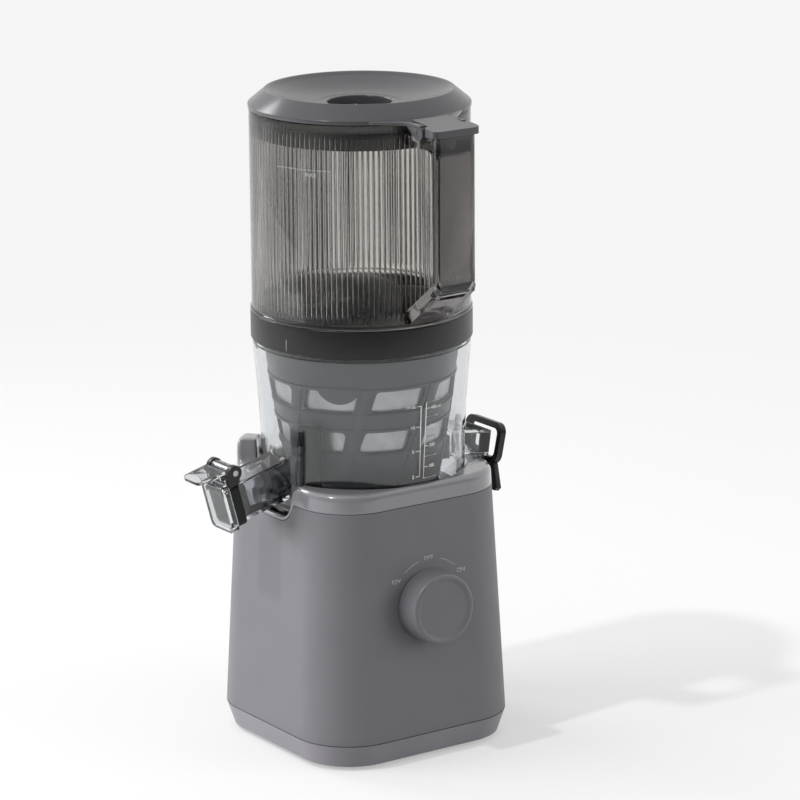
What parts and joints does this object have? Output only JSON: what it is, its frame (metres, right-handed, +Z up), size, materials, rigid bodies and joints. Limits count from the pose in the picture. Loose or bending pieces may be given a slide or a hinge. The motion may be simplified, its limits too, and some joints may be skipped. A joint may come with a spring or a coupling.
{
  "type": "cold press juicer",
  "caption": "Vertical cold press juicer: grey motor base with a front knob, clear bowl with strainer and auger, juice cap, pulp gate, smoke hopper with handle and a hinged black lid.",
  "frame": {"origin": "On the drive axis, on the plane that the rubber feet stand on.", "axes": "+Z is up along the drive shaft, -Y is the front with the knob and the handle, -X is the juice spout's side and +X the pulp outlet's side."},
  "size_m": [0.2454, 0.1973, 0.45],
  "materials": {
    "grey_body_plastic": "satin moulded",
    "grey_tray_plastic": "satin moulded",
    "pearl_deck_plastic": "gloss moulded",
    "knob_plastic": "satin moulded",
    "black_plastic": "fine texture",
    "smoke_plastic": "clear moulded, smoke tint",
    "clear_plastic": "clear moulded",
    "dark_grey_plastic": "satin moulded",
    "etched_steel": "etched",
    "steel": "ground",
    "rubber_black": "moulded",
    "silicone_grey": "moulded",
    "zinc_can": "drawn",
    "cast_zinc": "die cast",
    "lamination_steel": "stacked",
    "enamelled_copper": "wound",
    "nylon_gear": "moulded",
    "inner_black_plastic": "moulded",
    "circuit_board": "solder mask"
  },
  "bodies": {
    "base": {"housing": "grey_body_plastic", "bottom_tray": "grey_tray_plastic", "deck": "pearl_deck_plastic", "feet": "rubber_black", "tray_screws": "steel", "deck_screws": "steel", "motor_can": "zinc_can", "motor_endbell": "cast_zinc", "stator": "lamination_steel", "windings": "enamelled_copper", "motor_bearings": "steel", "motor_mounts": "rubber_black", "gearbox_case": "cast_zinc", "gearbox_cover": "cast_zinc", "gearbox_screws": "steel", "idler_pin": "steel", "output_bearing": "steel", "shaft_seal": "rubber_black", "control_board": "circuit_board", "rotary_switch": "inner_black_plastic", "interlock_switch": "inner_black_plastic", "cord_gland": "inner_black_plastic"},
    "rotor": {"rotor": "lamination_steel", "fan": "inner_black_plastic", "motor_pinion": "steel"},
    "idler": {"idler_gear": "nylon_gear"},
    "drive": {"output_gear": "steel", "output_shaft": "steel"},
    "knob": {"knob": "knob_plastic", "knob_shaft": "steel"},
    "bowl": {"juicing_bowl": "clear_plastic", "bowl_gasket": "silicone_grey", "outlet_seal": "rubber_black", "strainer_frame": "dark_grey_plastic", "strainer_mesh": "etched_steel", "cap_pin": "steel", "gate_pin": "steel", "pulp_seal": "rubber_black"},
    "cap": {"juice_cap": "clear_plastic", "cap_hinge": "black_plastic", "cap_seal": "rubber_black"},
    "gate": {"pulp_gate": "black_plastic"},
    "auger": {"auger": "dark_grey_plastic", "auger_bush": "steel", "chopping_head": "black_plastic"},
    "hopper": {"hopper_drum": "smoke_plastic", "handle": "smoke_plastic", "hopper_floor": "black_plastic", "lock_ring": "black_plastic", "hopper_seal": "silicone_grey", "handle_cap": "black_plastic", "lid_hinge_pin": "steel"},
    "lid": {"lid": "black_plastic", "lid_seal": "silicone_grey", "flap_pin": "steel", "flap_spring": "steel"},
    "flap": {"feed_flap": "black_plastic"}
  },
  "joints": [
    {"name": "bowl_lift", "type": "slide", "parent": "base", "child": "bowl", "axis": [0, 0, 1], "range_m": [0, 0.06]},
    {"name": "hopper_twist", "type": "hinge", "parent": "bowl", "child": "hopper", "pos_m": [0, 0, 0.3], "axis": [0, 0, 1], "range_deg": [0, 28]},
    {"name": "lid_hinge", "type": "hinge", "parent": "hopper", "child": "lid", "pos_m": [0, -0.0935, 0.4352], "axis": [1, 0, 0], "range_deg": [0, 95]},
    {"name": "feed_flap", "type": "hinge", "parent": "lid", "child": "flap", "pos_m": [0, 0.0176, 0.4336], "axis": [1, 0, 0], "range_deg": [0, 80], "stiffness_Nm_per_rad": 0.02},
    {"name": "juice_cap_hinge", "type": "hinge", "parent": "bowl", "child": "cap", "pos_m": [-0.11199, 0, 0.20424], "axis": [0, 1, 0], "range_deg": [0, 100]},
    {"name": "pulp_gate", "type": "hinge", "parent": "bowl", "child": "gate", "pos_m": [0.093, 0, 0.178], "axis": [0, 1, 0], "range_deg": [0, 45]},
    {"name": "knob_turn", "type": "hinge", "parent": "base", "child": "knob", "pos_m": [0, -0.07684, 0.1085], "axis": [0, -0.9989, 0.0462], "range_deg": [-50, 50]},
    {"name": "drive_spin", "type": "hinge", "parent": "base", "child": "drive", "pos_m": [0, 0, 0.163], "axis": [0, 0, 1], "continuous": true},
    {"name": "auger_spin", "type": "hinge", "parent": "bowl", "child": "auger", "pos_m": [0, 0, 0.181], "axis": [0, 0, 1], "continuous": true},
    {"name": "idler_spin", "type": "hinge", "parent": "base", "child": "idler", "pos_m": [0, 0.042, 0.104], "axis": [0, 0, 1], "continuous": true},
    {"name": "rotor_spin", "type": "hinge", "parent": "base", "child": "rotor", "pos_m": [0, 0.014, 0.104], "axis": [0, 0, 1], "continuous": true}
  ],
  "couplings": [
    {"joint": "auger_spin", "follows": "drive_spin", "ratio": 1},
    {"joint": "idler_spin", "follows": "drive_spin", "ratio": -3.6667},
    {"joint": "rotor_spin", "follows": "drive_spin", "ratio": 16.867}
  ]
}
